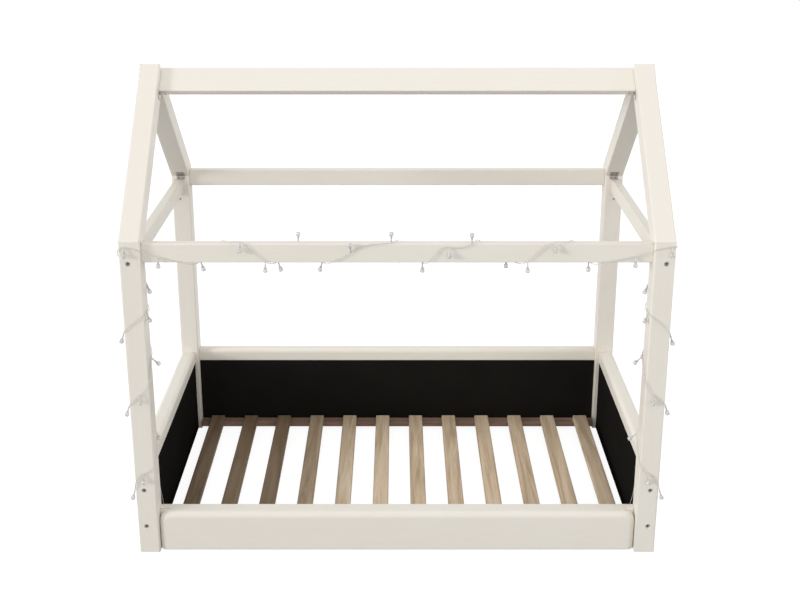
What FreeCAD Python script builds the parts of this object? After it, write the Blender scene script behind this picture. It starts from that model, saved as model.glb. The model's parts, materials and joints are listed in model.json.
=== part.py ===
import FreeCAD, Part
import math
import os
import re
import Sketcher
from FreeCAD import Rotation, Vector

# House frame bed for a small child, in millimetres.
# X runs along the bed, Y from the open front to the back, Z up; the origin is the centre of its footprint.
# Four square posts stand on the floor and carry two gable frames, mitred at the eaves and at the ridge.
# Two tie beams, two eave beams and a ridge board join the posts and the rafters.
# Two end panels, a back panel and a low front rail close in a base of twelve slats on two ledgers.
# A string of small lights winds up one front post, along the eave beam and down the other post.

SIZES = [
    # name, value, what it is
    ("bed_length", 1500, "over the outer faces of the posts"),
    ("bed_width", 812, "over the front and rear faces of the posts"),
    ("eave_height", 955, "floor to the outer corner of the mitre between post and rafter"),
    ("ridge_height", 1366, "floor to the top of the gables"),
    ("post_size", 58, "side of the square posts, and width of the rafters"),
    ("rafter_depth", 58, "rafters, square to the slope"),
    ("timber_rounding", 4, "long edges of posts and rafters"),
    ("beam_thickness", 27, "eave and tie beams, across"),
    ("eave_beam_height", 54, "eave beams, upright"),
    ("eave_beam_drop", 8.5, "eave height to the top of the eave beams"),
    ("tie_height", 48, "tie beams, upright"),
    ("tie_drop", 37, "eave height to the top of the tie beams"),
    ("beam_rounding", 3, "long edges of eave beams, tie beams and ridge board"),
    ("ridge_board_width", 81, "ridge board, down the slope"),
    ("ridge_board_rise", 2, "ridge board past the square through the ridge"),
    ("ridge_board_thickness", 22, "ridge board, square to the slope"),
    ("ridge_board_recess", 21, "front roof slope to the face of the ridge board"),
    ("rail_recess", 7.5, "face of the posts to the face of the front rail"),
    ("rail_height", 123.3, "front rail, upright"),
    ("rail_face_depth", 27, "front of the rail to the plain part behind it"),
    ("rail_corner", 32, "upper corners of the rail's face"),
    ("rail_rounding", 17, "edges above and beside the rail's face"),
    ("rail_lip", 3.5, "chamfer below the rail's face"),
    ("floor_gap", 1, "floor to the front rail and the panels"),
    ("panel_top", 295, "floor to the top of the panels"),
    ("cap_height", 42.5, "cap rails of the panels, upright"),
    ("end_cap_width", 46.5, "cap rails of the end panels, across"),
    ("back_cap_width", 37.5, "cap rail of the back panel, across"),
    ("cap_rounding", 13, "upper edges of the cap rails"),
    ("lip_rounding", 3, "lower edges of the cap rails"),
    ("sheet_thickness", 6, "black sheets of the panels"),
    ("sheet_setback", 1.5, "face of a cap rail to the face of the sheet below it"),
    ("stile_width", 58, "stiles of the panels"),
    ("bottom_rail_height", 40, "bottom rails of the panels"),
    ("slat_chamfer", 1.8, "upper long edges of the slats"),
    ("ledger_width", 34, "ledgers, across"),
    ("ledger_height", 17.7, "ledgers, upright"),
    ("ledger_top", 29.7, "floor to the top of the ledgers"),
    ("slat_count", 12, "slats"),
    ("slat_width", 47.5, "slats, along the bed"),
    ("slat_thickness", 18, "slats, upright"),
    ("slat_bearing", 17, "length of a slat that lies on each ledger"),
    ("left_slat_margin", 93.6, "left end of the bed to the first slat"),
    ("right_slat_margin", 80, "last slat to the right end of the bed"),
    ("bolt_inset", 23.5, "end of the bed to the axis of bolts and tie beams"),
    ("lower_bolt_height", 86, "floor to the lower bolts of the end panels"),
    ("upper_bolt_height", 203, "floor to the upper bolts of the end panels"),
    ("bolt_diameter", 6, "shank of the connector bolts"),
    ("bolt_reach", 45, "length of a shank beyond its post"),
    ("bolt_head_diameter", 11.5, "six-sided bolt head, over its corners"),
    ("bolt_head_height", 4, "six-sided bolt head"),
    ("sink_diameter", 14, "counterbore over a bolt head"),
    ("sink_depth", 7, "counterbore over a bolt head"),
    ("pin_hole_diameter", 6.5, "spare hole in the rear posts, under the tie beam"),
    ("pin_hole_depth", 12, "spare hole in the rear posts"),
    ("pin_hole_inset", 26.5, "end of the bed to the spare hole"),
    ("pin_hole_drop", 20, "tie beam to the spare hole"),
    ("plate", 2, "thickness of all steel brackets"),
    ("bracket_fit", 0.3, "end of a bracket to the piece beside it"),
    ("eave_bracket_width", 28, "bent brackets at the eaves, along the bed"),
    ("eave_bracket_inset", 18, "end of the bed to the bent brackets"),
    ("rafter_leaf", 24, "leaf of a bent bracket on its rafter"),
    ("angle_width", 16, "angle brackets and joint plates, across"),
    ("angle_leg", 20, "legs of the angle brackets at the ridge"),
    ("beam_leg", 30, "leg of an angle bracket on its eave beam"),
    ("post_leg", 12, "leg of an angle bracket or joint plate on its post"),
    ("rail_leg", 30, "part of a joint plate on the front rail or the back panel"),
    ("lower_plate_height", 50, "floor to the lower joint plates"),
    ("upper_plate_height", 92, "floor to the upper joint plates"),
    ("case_length", 66, "battery case, front to back"),
    ("case_height", 36, "battery case, upright"),
    ("case_depth", 17, "battery case, off the panel"),
    ("case_wall", 1.6, "walls of the battery case"),
    ("case_floor_gap", 4, "floor to the battery case"),
    ("case_front", 92, "front face of the bed to the battery case"),
    ("case_fit", 0.3, "battery case to the panel that carries it"),
    ("case_rounding", 2.5, "edges of the battery case that stand upright"),
    ("switch_bay", 11, "part of the battery case kept for the switch"),
    ("lid_thickness", 2, "battery lid"),
    ("lid_lap", 1.2, "battery lid past the opening, all round"),
    ("cell_diameter", 14.2, "battery cells"),
    ("cell_length", 50.2, "battery cells"),
    ("cell_play", 0.3, "battery cells to the case and each other"),
    ("slider_length", 5, "switch slider, along its travel"),
    ("slider_width", 4, "switch slider, across its travel"),
    ("slider_height", 3, "switch slider, out of the case"),
    ("slider_travel", 4, "switch slider, off to on"),
    ("slider_play", 0.3, "switch slider to its slot, each side"),
    ("slot_depth", 1.5, "slot of the switch slider"),
    ("grommet_diameter", 5.2, "wire outlet on the battery case"),
    ("grommet_height", 5, "wire outlet on the battery case"),
    ("outlet_place", 30, "front of the battery case to the wire outlet"),
    ("wire_diameter", 2.2, "wire of the lights"),
    ("edge_bend", 9, "largest bend of the wire round an edge of the timber"),
    ("bulb_length", 30, "bulbs"),
    ("bulb_diameter", 13, "bulbs, at their wide end"),
    ("bulb_neck", 3.6, "bulbs, at the wire"),
    ("bulb_grip", 0.5, "axis of the wire to the narrow end of a bulb"),
]

# lengths that follow from the sizes above
DERIVED = {
    "half_length": "bed_length / 2",
    "half_width": "bed_width / 2",
    "between_posts": "bed_length - 2 * post_size",
    "between_frames": "bed_width - 2 * post_size",
    "roof_rise": "ridge_height - eave_height",
    "roof_slope": "sqrt(half_width ^ 2 + roof_rise ^ 2)",
    "roof_sine": "roof_rise / roof_slope",
    "roof_cosine": "half_width / roof_slope",
    "mitre_height": "eave_height + post_size * roof_rise / half_width - rafter_depth / roof_cosine",
    "post_leaf": "mitre_height - eave_height + tie_drop",
    "ridge_board_foot": "ridge_board_width - ridge_board_rise",
    "ridge_soffit": "ridge_height - rafter_depth / roof_cosine",
    "eave_beam_bottom": "eave_height - eave_beam_drop - eave_beam_height",
    "beam_recess": "(post_size - beam_thickness) / 2",
    "tie_bottom": "eave_height - tie_drop - tie_height",
    "cap_bottom": "panel_top - cap_height",
    "end_frame_depth": "end_cap_width - sheet_setback - sheet_thickness",
    "back_frame_depth": "back_cap_width - sheet_setback - sheet_thickness",
    "end_sheet_face": "end_cap_width - sheet_setback",
    "bay_depth": "bed_width - post_size - back_cap_width + sheet_setback",
    "slat_length": "bay_depth - 2 * ledger_width + 2 * slat_bearing",
    "slat_pitch": "(bed_length - left_slat_margin - right_slat_margin - slat_width) / (slat_count - 1)",
    "bolt_length": "post_size - sink_depth + bolt_reach",
    "bent_corner": "plate * (1 - roof_sine) / roof_cosine",
    "case_left": "case_fit + end_sheet_face - bed_length / 2",
    "case_y": "case_front - bed_width / 2",
    "cell_bay_length": "cell_length + 2 * cell_play",
    "cell_bay_height": "2 * cell_diameter + 3 * cell_play",
}

FREE_STRAND_TURN = 45  # degrees; the route turns by more only where it goes round an edge of the timber

# The wire, from the battery case to its last bulb: points chosen by hand along the wood, in millimetres.
LEFT_POST_ROUTE = [
    (-695, -284, 45), (-697, -284, 63), (-701, -286, 84), (-701, -298, 116), (-700, -317, 152), (-701, -331, 197),
    (-700, -338, 243), (-699, -338, 282), (-707, -337, 303), (-730, -338, 305), (-754, -340, 300), (-754, -358, 262),
    (-754, -380, 223), (-754, -398, 198), (-752, -410, 208), (-747, -410, 235), (-737, -410, 254),
    (-713, -410, 263), (-688, -410, 282), (-688, -378, 315), (-688, -344, 357), (-720, -344, 397),
    (-754, -344, 432), (-754, -378, 453), (-754, -410, 470), (-733, -410, 496), (-688, -410, 536),
    (-688, -380, 588), (-688, -344, 626), (-720, -344, 650), (-754, -344, 668), (-754, -378, 679),
    (-754, -410, 694), (-734, -410, 716), (-688, -410, 753), (-688, -378, 746), (-688, -344, 737),
    (-702, -344, 775), (-688, -343, 814), (-715, -344, 846), (-754, -344, 872), (-754, -378, 902),
    (-754, -410, 930), (-741, -410, 945), (-720, -410, 941), (-698, -410, 935),
]
BEAM_ROUTE = [
    (-679, -401, 927), (-652, -395.5, 911), (-602, -395.5, 898), (-549, -395.5, 887.5), (-535, -358.5, 887.5),
    (-506, -358.5, 922), (-470, -358.5, 951.5), (-458, -395.5, 951.5), (-424, -396, 957), (-403, -395.5, 941),
    (-386, -395.5, 922), (-366, -395.5, 905), (-343, -395.5, 887.5), (-320, -358.5, 887.5), (-298, -358.5, 922),
    (-274, -358.5, 944), (-242, -358.5, 926), (-206, -358.5, 887.5), (-194, -395.5, 887.5), (-165, -395.5, 901),
    (-139, -395.5, 913), (-112, -395.5, 934), (-84, -395.5, 945), (-45, -395.5, 948.5), (-8, -395.5, 951.5),
    (2, -358.5, 951.5), (6, -358.5, 918), (25, -358.5, 897), (66, -358.5, 887.5), (77, -395.5, 887.5),
    (97, -395.5, 908), (112, -395.5, 930), (130, -395.5, 941), (156, -395.5, 935), (184, -395.5, 939),
    (207, -395.5, 951.5), (219, -358.5, 951.5), (257, -358.5, 920), (306, -358.5, 887.5), (341, -395.5, 887.5),
    (365, -395.5, 908), (385, -395.5, 928), (403, -395.5, 943), (426, -396, 957), (462, -395.5, 951.5),
    (474, -358.5, 951.5), (500, -358.5, 919), (521, -358.5, 887.5), (532, -395.5, 887.5), (564, -395.5, 895.5),
    (604, -395.5, 903), (648, -395.5, 913), (681, -401, 926),
]
RIGHT_POST_ROUTE = [
    (699, -410, 938), (722, -410, 941), (754, -410, 948), (754, -378, 930), (754, -344, 876), (720, -344, 850),
    (688, -343, 812), (702, -344, 776), (688, -344, 748), (688, -378, 744), (688, -410, 749), (722, -410, 722),
    (754, -410, 690), (754, -378, 671), (754, -344, 655), (720, -344, 637), (688, -344, 613), (688, -366, 585),
    (688, -391, 568), (688, -410, 551), (703, -410, 517), (720, -410, 502), (754, -410, 478), (754, -378, 455),
    (754, -344, 438), (720, -344, 403), (688, -344, 366), (688, -366, 324), (688, -410, 292), (703, -410, 264),
    (724, -410, 257), (741, -410, 241), (752, -410, 209), (754, -398, 198), (754, -380, 223), (754, -358, 262),
    (754, -340, 300), (730, -338, 305), (707, -337, 303), (699, -338, 282), (700, -338, 243), (701, -331, 197),
    (700, -318, 155), (701, -303, 123), (701, -274, 78), (699, -270, 52),
]
# Bulbs: the run of the route that each one grips, how far along it, the side of the wood it faces, and its way.
LEFT_POST_BULBS = [
    (8, 0.5, "top", "up"), (13, 0.55, "left", "down"), (16, 0.5, "front", "down"), (20, 0.1, "right", "down"),
    (21, 0.3, "back", "down"), (23, 0.8, "left", "down"), (25, 0.3, "front", "down"), (27, 0.3, "right", "out"),
    (29, 0.1, "back", "down"), (31, 0.5, "left", "down"), (34, 0.5, "right", "down"), (38, 0.0, "right", "down"),
    (39, 0.7, "back", "down"), (43, 0.4, "front", "down"),
]
BEAM_BULBS = [
    (1, 0.15, "front", "down"), (3, 0.75, "right", "down"), (8, 0.0, "front", "down"), (11, 0.4, "front", "down"),
    (12, 0.75, "right", "down"), (15, 0.2, "top", "up"), (17, 0.25, "left", "down"), (20, 0.5, "front", "up"),
    (23, 0.75, "top", "up"), (26, 0.3, "left", "down"), (28, 0.3, "bottom", "down"), (32, 0.4, "front", "down"),
    (34, 0.7, "top", "up"), (37, 0.85, "back", "down"), (39, 0.5, "front", "down"), (43, 0.0, "front", "down"),
    (47, 0.25, "bottom", "down"), (50, 0.85, "front", "down"),
]
RIGHT_POST_BULBS = [
    (1, 0.5, "front", "down"), (4, 0.5, "back", "down"), (6, 0.0, "left", "down"), (9, 0.5, "left", "down"),
    (12, 0.5, "right", "down"), (15, 0.9, "back", "down"), (16, 0.5, "left", "out"), (20, 0.6, "front", "down"),
    (22, 0.35, "right", "down"), (25, 0.3, "back", "down"), (26, 0.2, "left", "out"), (29, 0.75, "front", "down"),
    (32, 0.5, "right", "down"), (37, 0.5, "top", "up"), (44, 1.0, "left", "down"),
]
FACING = {
    "front": Vector(0, -1, 0), "back": Vector(0, 1, 0), "left": Vector(-1, 0, 0), "right": Vector(1, 0, 0),
    "top": Vector(0, 0, 1), "bottom": Vector(0, 0, -1),
}
# A bulb hangs or stands on its stem and leans off the wood, or points out from the wood and down.
BULB_WAYS = {"up": (1, 0.3), "down": (-1, 0.3), "out": (-0.9, 1)}
WIRE_SIDES = 3  # the wire is a plain tube here
BULB_SIDES = 6
CELL_SIDES = 12  # cells and wire outlet

doc = FreeCAD.newDocument("HouseFrameBed")
sheet = doc.addObject("Spreadsheet::Sheet", "Sizes")
pieces = []  # node name and object, in the order they are written


# ---------------------------------------------------------------- sizes and drawing helpers

def fill_sheet():
    """Write each driving size as a named cell."""
    for row, (name, value, meaning) in enumerate(SIZES, 1):
        sheet.set(f"A{row}", meaning)
        sheet.set(f"B{row}", str(value))
        sheet.setAlias(f"B{row}", name)
    doc.recompute()


def expression(text):
    """Spell out the derived lengths and put the sheet's name before each size."""
    def spell(match):
        word = match.group(0)
        if word in DERIVED:
            return f"({expression(DERIVED[word])})"
        return f"Sizes.{word}" if word in size_names else word
    return re.sub(r"[a-z_]+", spell, text)


def value(text):
    """The number that an expression gives now."""
    return float(sheet.evalExpression(expression(text)))


def bind(item, **properties):
    """Bind properties to expressions; a double underscore in a name stands for a full stop."""
    for name, text in properties.items():
        item.setExpression(name.replace("__", "."), expression(text))
    return item


def put(item, x="0", y="0", z="0"):
    """Place a piece at the three lengths."""
    return bind(item, Placement__Base__x=x, Placement__Base__y=y, Placement__Base__z=z)


def keep(item, label):
    """Name a piece and list it for writing."""
    item.Label = label
    pieces.append((label, item))
    return item


def new_body(name):
    return doc.addObject("PartDesign::Body", name)


def new_sketch(body, plane):
    """A sketch on one of the body's own origin planes."""
    sketch = body.newObject("Sketcher::SketchObject", body.Name + "_sketch")
    support = next(item for item in body.Origin.OriginFeatures if item.Role == plane)
    sketch.AttachmentSupport = (support, [""])
    sketch.MapMode = "FlatFace"
    return sketch


def fix_point(sketch, geometry, position, across, up):
    """Tie a point of the sketch to its two lengths from the origin."""
    for kind, text in (("DistanceX", across), ("DistanceY", up)):
        index = sketch.addConstraint(Sketcher.Constraint(kind, -1, 1, geometry, position, value(text)))
        sketch.setExpression(f"Constraints[{index}]", expression(text))


def draw_outline(body, plane, corners):
    """A closed outline of straight lines through the corners."""
    sketch = new_sketch(body, plane)
    points = [Vector(value(across), value(up), 0) for across, up in corners]
    for start, end in zip(points, points[1:] + points[:1]):
        sketch.addGeometry(Part.LineSegment(start, end))
    for line, (across, up) in enumerate(corners):
        following = (line + 1) % len(corners)
        sketch.addConstraint(Sketcher.Constraint("Coincident", line, 2, following, 1))
        fix_point(sketch, line, 1, across, up)
    return sketch


def draw_circles(body, plane, centres, diameter):
    """Equal circles about the centres."""
    sketch = new_sketch(body, plane)
    for number, (across, up) in enumerate(centres):
        centre = Vector(value(across), value(up), 0)
        sketch.addGeometry(Part.Circle(centre, Vector(0, 0, 1), value(diameter) / 2))
        fix_point(sketch, number, 3, across, up)
        index = sketch.addConstraint(Sketcher.Constraint("Diameter", number, value(diameter)))
        sketch.setExpression(f"Constraints[{index}]", expression(diameter))
    return sketch


def prism(name, plane, corners, length):
    """A body padded from an outline, towards +X, +Y or +Z."""
    body = new_body(name)
    pad = body.newObject("PartDesign::Pad", name + "_pad")
    pad.Profile = draw_outline(body, plane, corners)
    pad.Reversed = plane == "XZ_Plane"
    bind(pad, Length=length)
    doc.recompute()
    return body


def bar(name, plane, width, height, length):
    """A rectangular bar from its lower left corner."""
    return prism(name, plane, [("0", "0"), (width, "0"), (width, height), ("0", height)], length)


def round_edges(body, radius, chosen):
    """Round the edges that the test chooses."""
    base = body.Tip
    names = [f"Edge{number}" for number, edge in enumerate(base.Shape.Edges, 1) if chosen(edge)]
    fillet = body.newObject("PartDesign::Fillet", f"{body.Name}_rounding_{len(body.Group)}")
    fillet.Base = (base, names)
    bind(fillet, Radius=radius)
    doc.recompute()
    return body


def chamfer_edges(body, size, chosen):
    """Take the edges that the test chooses off at 45 degrees."""
    base = body.Tip
    names = [f"Edge{number}" for number, edge in enumerate(base.Shape.Edges, 1) if chosen(edge)]
    chamfer = body.newObject("PartDesign::Chamfer", f"{body.Name}_chamfer_{len(body.Group)}")
    chamfer.Base = (base, names)
    bind(chamfer, Size=size)
    doc.recompute()
    return body


def long_edges(body):
    """A test for the edges that run the whole length of a piece."""
    longest = max(edge.Length for edge in body.Shape.Edges)
    return lambda edge: edge.Length > longest / 2


def cut_holes(body, plane, centres, diameter, depth, from_far_end=False):
    """Sink round holes into a body from one of its origin planes."""
    before = body.Shape.Volume
    pocket = body.newObject("PartDesign::Pocket", f"{body.Name}_holes_{len(body.Group)}")
    pocket.Profile = draw_circles(body, plane, centres, diameter)
    pocket.Reversed = plane != "XZ_Plane"
    bind(pocket, Length=depth)
    doc.recompute()
    if not body.Shape.Volume < before:
        raise RuntimeError(f"the holes in {body.Name} cut nothing")
    return body


def mirror(source, name, axis):
    """The same piece on the other side of the bed."""
    item = doc.addObject("Part::Mirroring", name)
    item.Source = source
    item.Normal = FACING[axis]
    doc.recompute()
    return item


def group(name, items):
    """Several solids that stay separate."""
    item = doc.addObject("Part::Compound", name)
    item.Links = items
    doc.recompute()
    return item


def block(name, length, width, height, x, y, z):
    """A plain rectangular block."""
    item = doc.addObject("Part::Box", name)
    bind(item, Length=length, Width=width, Height=height)
    return put(item, x, y, z)


def boolean(kind, name, first, second):
    """Cut the second item out of the first, or join the two."""
    item = doc.addObject(f"Part::{kind}", name)
    item.Base = first
    item.Tool = second
    doc.recompute()
    return item


# ---------------------------------------------------------------- gable frames

def make_front_post():
    """A post with its mitred head, its rounded long edges and the sinks of its bolts."""
    outline = [("0", "0"), ("post_size", "0"), ("post_size", "mitre_height"), ("0", "eave_height")]
    post = prism("FrontLeftPost", "YZ_Plane", outline, "post_size")
    round_edges(post, "timber_rounding", long_edges(post))
    cut_holes(post, "XZ_Plane", bolt_centres, "sink_diameter", "sink_depth")
    return put(post, "-half_length", "-half_width")


def make_rear_post(front_post):
    """The front post turned round, with a spare hole and two housings for the joint plates."""
    post = mirror(front_post, "RearLeftBlank", "back")
    pin_hole = doc.addObject("Part::Cylinder", "PinHole")
    bind(pin_hole, Radius="pin_hole_diameter / 2", Height="pin_hole_depth")
    pin_hole.Placement.Rotation = Rotation(FACING["top"], FACING["back"])
    put(pin_hole, "pin_hole_inset - half_length", "half_width - post_size", "tie_bottom - pin_hole_drop")
    tools = [pin_hole]
    for number, height in enumerate(("lower_plate_height", "upper_plate_height")):
        tools.append(block(
            f"PostHousing{number}", "post_leg", "plate", "angle_width",
            "post_size - post_leg - half_length", "half_width - plate", f"{height} - angle_width / 2"))
    return boolean("Cut", "RearLeftPost", post, group("RearPostTools", tools))


def make_posts():
    front = keep(make_front_post(), "front_left_post")
    rear = keep(make_rear_post(front), "rear_left_post")
    keep(mirror(front, "FrontRightPost", "right"), "front_right_post")
    keep(mirror(rear, "RearRightPost", "right"), "rear_right_post")


def make_rafters():
    """Four rafters, mitred to the posts below and to each other at the ridge."""
    outline = [
        ("0", "eave_height"), ("post_size", "mitre_height"),
        ("half_width", "ridge_soffit"), ("half_width", "ridge_height"),
    ]
    front = prism("FrontLeftRafter", "YZ_Plane", outline, "post_size")
    round_edges(front, "timber_rounding", long_edges(front))
    keep(put(front, "-half_length", "-half_width"), "front_left_rafter")
    rear = keep(mirror(front, "RearLeftRafter", "back"), "rear_left_rafter")
    keep(mirror(front, "FrontRightRafter", "right"), "front_right_rafter")
    keep(mirror(rear, "RearRightRafter", "right"), "rear_right_rafter")


# ---------------------------------------------------------------- beams

def make_ridge_board():
    """The board along the ridge, which lies in the front slope."""
    board = bar("RidgeBoard", "YZ_Plane", "ridge_board_width", "ridge_board_thickness", "between_posts")
    round_edges(board, "beam_rounding", long_edges(board))
    bind(
        board, Placement__Rotation__Angle="atan(roof_rise / half_width)",
        Placement__Rotation__Axis__x="1", Placement__Rotation__Axis__y="0", Placement__Rotation__Axis__z="0")
    drop = "(ridge_board_recess + ridge_board_thickness)"
    put(
        board, "post_size - half_length",
        f"{drop} * roof_sine - ridge_board_foot * roof_cosine",
        f"ridge_height - {drop} * roof_cosine - ridge_board_foot * roof_sine")
    return keep(board, "ridge_beam")


def make_eave_beams():
    beam = bar("FrontEaveBeam", "YZ_Plane", "beam_thickness", "eave_beam_height", "between_posts")
    round_edges(beam, "beam_rounding", long_edges(beam))
    put(beam, "post_size - half_length", "beam_recess - half_width", "eave_beam_bottom")
    keep(beam, "front_eave_beam")
    keep(mirror(beam, "RearEaveBeam", "back"), "rear_eave_beam")


def make_tie_beams():
    """Beams between the front and rear posts, bolted on."""
    beam = bar("LeftTieBeam", "XZ_Plane", "beam_thickness", "tie_height", "between_frames")
    round_edges(beam, "beam_rounding", long_edges(beam))
    put(beam, "bolt_inset - beam_thickness / 2 - half_length", "post_size - half_width", "tie_bottom")
    keep(beam, "left_tie_beam")
    keep(mirror(beam, "RightTieBeam", "right"), "right_tie_beam")


def make_front_rail():
    """The low front rail: a face with round upper corners and soft edges, and a square part behind it."""
    face = bar("RailFace", "XZ_Plane", "between_posts", "rail_height", "rail_face_depth")
    middle = value("rail_height") / 2
    round_edges(face, "rail_corner", lambda edge: edge.BoundBox.XLength < 1 and edge.BoundBox.ZMin > middle)
    round_edges(face, "rail_rounding", lambda edge: edge.BoundBox.YMax < 1 and edge.BoundBox.ZMax > middle)
    chamfer_edges(face, "rail_lip", lambda edge: edge.BoundBox.YMax < 1 and edge.BoundBox.ZMax < 1)
    put(face, "post_size - half_length", "rail_recess - half_width", "floor_gap")
    backing = block(
        "RailBacking", "between_posts", "post_size - rail_recess - rail_face_depth", "rail_height",
        "post_size - half_length", "rail_recess + rail_face_depth - half_width", "floor_gap")
    return keep(boolean("Fuse", "FrontRail", face, backing), "front_rail")


# ---------------------------------------------------------------- panels

def round_cap(cap):
    """Round a cap rail's long edges: large above, small below."""
    middle = value("cap_height") / 2
    longest = long_edges(cap)
    round_edges(cap, "cap_rounding", lambda edge: longest(edge) and edge.BoundBox.ZMin > middle)
    round_edges(cap, "lip_rounding", lambda edge: longest(edge) and edge.BoundBox.ZMax < middle)


def make_end_panels():
    """Cap rail, stiles, bottom rail and black sheet between the posts at each end of the bed."""
    cap = bar("LeftCap", "XZ_Plane", "end_cap_width", "cap_height", "between_frames")
    round_cap(cap)
    put(cap, "-half_length", "post_size - half_width", "cap_bottom")
    stile = bar("LeftFrontStile", "XY_Plane", "end_frame_depth", "stile_width", "cap_bottom - floor_gap")
    put(stile, "-half_length", "post_size - half_width", "floor_gap")
    rear_stile = mirror(stile, "LeftRearStile", "back")
    rail = bar("LeftBottomRail", "XZ_Plane", "end_frame_depth", "bottom_rail_height", "between_frames - 2 * stile_width")
    put(rail, "-half_length", "post_size + stile_width - half_width", "floor_gap")
    sheet_piece = bar("LeftSheet", "YZ_Plane", "between_frames", "cap_bottom - floor_gap", "sheet_thickness")
    put(sheet_piece, "end_frame_depth - half_length", "post_size - half_width", "floor_gap")
    made = {
        "cap_rail": cap, "front_stile": stile, "rear_stile": rear_stile,
        "bottom_rail": rail, "black_sheet": sheet_piece,
    }
    for label, item in made.items():
        keep(item, f"left_panel_{label}")
    for label, item in made.items():
        keep(mirror(item, "Right_" + label, "right"), f"right_panel_{label}")


def make_back_panel():
    """The same panel between the rear posts, its stiles housed for the joint plates."""
    cap = bar("BackCap", "YZ_Plane", "back_cap_width", "cap_height", "between_posts")
    round_cap(cap)
    keep(put(cap, "post_size - half_length", "half_width - back_cap_width", "cap_bottom"), "back_panel_cap_rail")
    stile = bar("BackLeftStileBlank", "XY_Plane", "stile_width", "back_frame_depth", "cap_bottom - floor_gap")
    put(stile, "post_size - half_length", "half_width - back_frame_depth", "floor_gap")
    housings = [
        block(
            f"StileHousing{number}", "rail_leg", "plate", "angle_width",
            "post_size - half_length", "half_width - plate", f"{height} - angle_width / 2")
        for number, height in enumerate(("lower_plate_height", "upper_plate_height"))
    ]
    stile = keep(boolean("Cut", "BackLeftStile", stile, group("StileHousings", housings)), "back_panel_left_stile")
    keep(mirror(stile, "BackRightStile", "right"), "back_panel_right_stile")
    rail = bar("BackBottomRail", "YZ_Plane", "back_frame_depth", "bottom_rail_height", "between_posts - 2 * stile_width")
    put(rail, "post_size + stile_width - half_length", "half_width - back_frame_depth", "floor_gap")
    keep(rail, "back_panel_bottom_rail")
    sheet_piece = bar("BackSheet", "XZ_Plane", "between_posts", "cap_bottom - floor_gap", "sheet_thickness")
    put(sheet_piece, "post_size - half_length", "half_width - back_cap_width + sheet_setback", "floor_gap")
    keep(sheet_piece, "back_panel_black_sheet")


# ---------------------------------------------------------------- slatted base

def make_ledgers():
    """A ledger on the back of the front rail and one on the face of the back panel."""
    for label, y in (("front", "post_size - half_width"), ("rear", "post_size - half_width + bay_depth - ledger_width")):
        ledger = bar(label.title() + "Ledger", "YZ_Plane", "ledger_width", "ledger_height", "between_posts")
        keep(put(ledger, "post_size - half_length", y, "ledger_top - ledger_height"), label + "_ledger")


def make_slats():
    """Equal slats at an even pitch, laid across the ledgers."""
    for number in range(round(value("slat_count"))):
        slat = bar(f"Slat{number + 1:02d}", "XZ_Plane", "slat_width", "slat_thickness", "slat_length")
        longest = long_edges(slat)
        middle = value("slat_thickness") / 2
        chamfer_edges(slat, "slat_chamfer", lambda edge: longest(edge) and edge.BoundBox.ZMin > middle)
        put(
            slat, f"left_slat_margin + {number} * slat_pitch - half_length",
            "post_size + ledger_width - slat_bearing - half_width", "ledger_top")
        keep(slat, f"slat_{number + 1:02d}")


# ---------------------------------------------------------------- bolts and brackets

def make_bolts():
    """Three bolts through each post: one into the tie beam, two into the end panel's stile."""
    bolts = []
    for number, (across, up) in enumerate(bolt_centres):
        made = []
        for kind, radius, length in (
            ("Head", "bolt_head_diameter / 2", "bolt_head_height"), ("Shank", "bolt_diameter / 2", "bolt_length")):
            prism_part = doc.addObject("Part::Prism", f"Bolt{kind}{number}")
            bind(prism_part, Circumradius=radius, Height=length)
            prism_part.Placement.Rotation = Rotation(FACING["top"], FACING["back"])
            lift = " - bolt_head_height" if kind == "Head" else ""
            put(prism_part, f"{across} - half_length", f"sink_depth - half_width{lift}", up)
            made.append(prism_part)
        bolts.append(boolean("Fuse", f"Bolt{number}", *made))
    front_left = group("FrontLeftBolts", bolts)
    front = group("FrontBolts", [front_left, mirror(front_left, "FrontRightBolts", "right")])
    return keep(group("ConnectorBolts", [front, mirror(front, "RearBolts", "back")]), "connector_bolts")


def make_eave_brackets():
    """Bent plates in the corners between posts and rafters, above the tie beams."""
    tip_y = "rafter_leaf * roof_cosine"
    tip_z = "rafter_leaf * roof_sine"
    outline = [
        ("0", "0"), ("0", "-(post_leaf - bracket_fit)"), ("plate", "-(post_leaf - bracket_fit)"),
        ("plate", "bent_corner * roof_sine - plate * roof_cosine"),
        (f"{tip_y} + plate * roof_sine", f"{tip_z} - plate * roof_cosine"), (tip_y, tip_z),
    ]
    bracket = prism("FrontLeftEaveBracket", "YZ_Plane", outline, "eave_bracket_width")
    put(bracket, "eave_bracket_inset - half_length", "post_size - half_width", "mitre_height")
    return keep(four_of(bracket, "EaveBrackets"), "eave_brackets")


def four_of(item, name):
    """One item at each corner of the bed."""
    pair = group(name + "Front", [item, mirror(item, name + "Right", "right")])
    return group(name, [pair, mirror(pair, name + "Rear", "back")])


def angle(name, first_leg, second_leg, plane="XY_Plane"):
    """An angle bracket, from the corner where its two legs meet."""
    outline = [
        ("0", "0"), (first_leg, "0"), (first_leg, "plate"), ("plate", "plate"), ("plate", second_leg), ("0", second_leg),
    ]
    return prism(name, plane, outline, "angle_width")


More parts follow.
